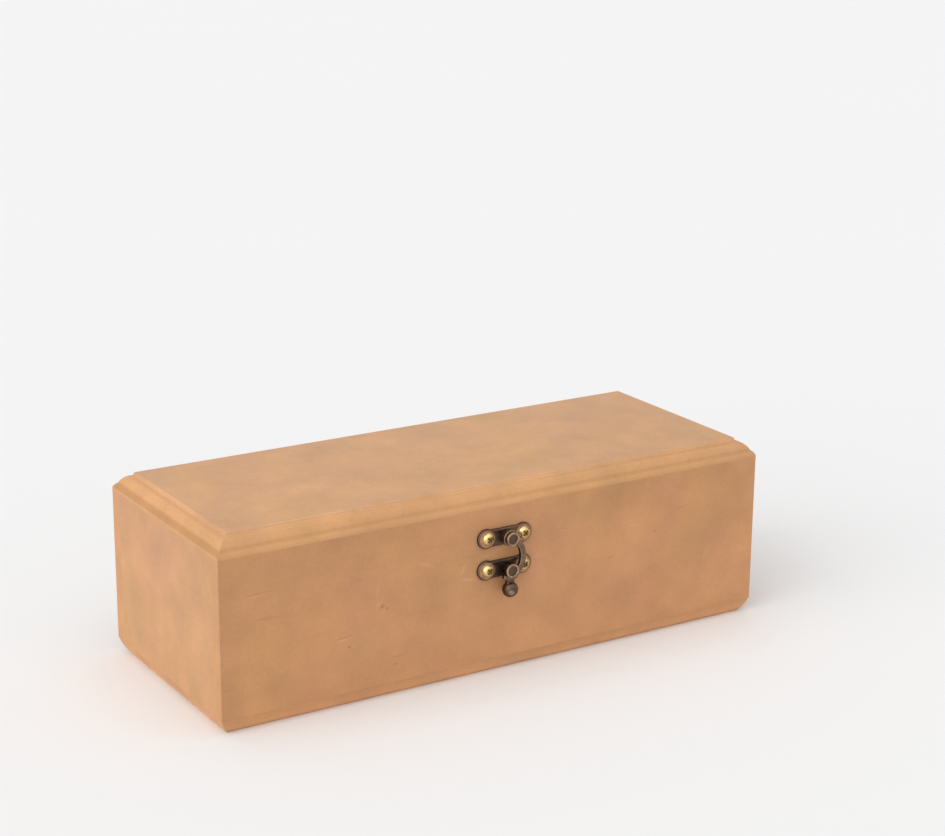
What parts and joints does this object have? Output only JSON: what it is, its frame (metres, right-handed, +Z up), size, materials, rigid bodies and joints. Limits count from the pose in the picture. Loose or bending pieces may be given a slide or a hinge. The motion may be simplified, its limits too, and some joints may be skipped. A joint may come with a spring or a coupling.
{
  "type": "brush box",
  "caption": "Plain fibreboard brush box with a moulded hinged lid, a swing-hook latch on the front and butt hinges at the back.",
  "frame": {"origin": "middle of the overall box's underside, on the surface the brush box stands on", "axes": "+X along the length, towards the right end seen from the latch; +Z up; the latch faces -Y and the hinges are at +Y"},
  "size_m": [0.24, 0.104, 0.0745],
  "materials": {
    "fibreboard": "bare, smooth, matt",
    "antique_bronze": "darkened, satin, worn bright on the raised edges",
    "bright_brass": "polished"
  },
  "bodies": {
    "box": {"base_board": "fibreboard", "front_board": "fibreboard", "back_board": "fibreboard", "left_end_board": "fibreboard", "right_end_board": "fibreboard", "catch_plate": "antique_bronze", "catch_post": "antique_bronze", "catch_plate_screws": "bright_brass", "left_hinge_box_leaf": "antique_bronze", "right_hinge_box_leaf": "antique_bronze", "hinge_pins": "antique_bronze", "hinge_box_screws": "bright_brass"},
    "lid": {"lid_top_board": "fibreboard", "lid_front_rail": "fibreboard", "lid_back_rail": "fibreboard", "lid_left_rail": "fibreboard", "lid_right_rail": "fibreboard", "hook_plate": "antique_bronze", "hook_rivet": "antique_bronze", "hook_plate_screws": "bright_brass", "left_hinge_lid_leaf": "antique_bronze", "right_hinge_lid_leaf": "antique_bronze", "hinge_lid_screws": "bright_brass"},
    "hook": {"swing_hook": "antique_bronze"}
  },
  "joints": [
    {"name": "lid_hinge", "type": "hinge", "parent": "box", "child": "lid", "pos_m": [0, 0.05053, 0.0493], "axis": [-1, 0, 0], "range_deg": [0, 180]},
    {"name": "hook_swing", "type": "hinge", "parent": "lid", "child": "hook", "pos_m": [-0.0008, -0.04863, 0.05525], "axis": [0, -1, 0], "range_deg": [0, 300]}
  ]
}
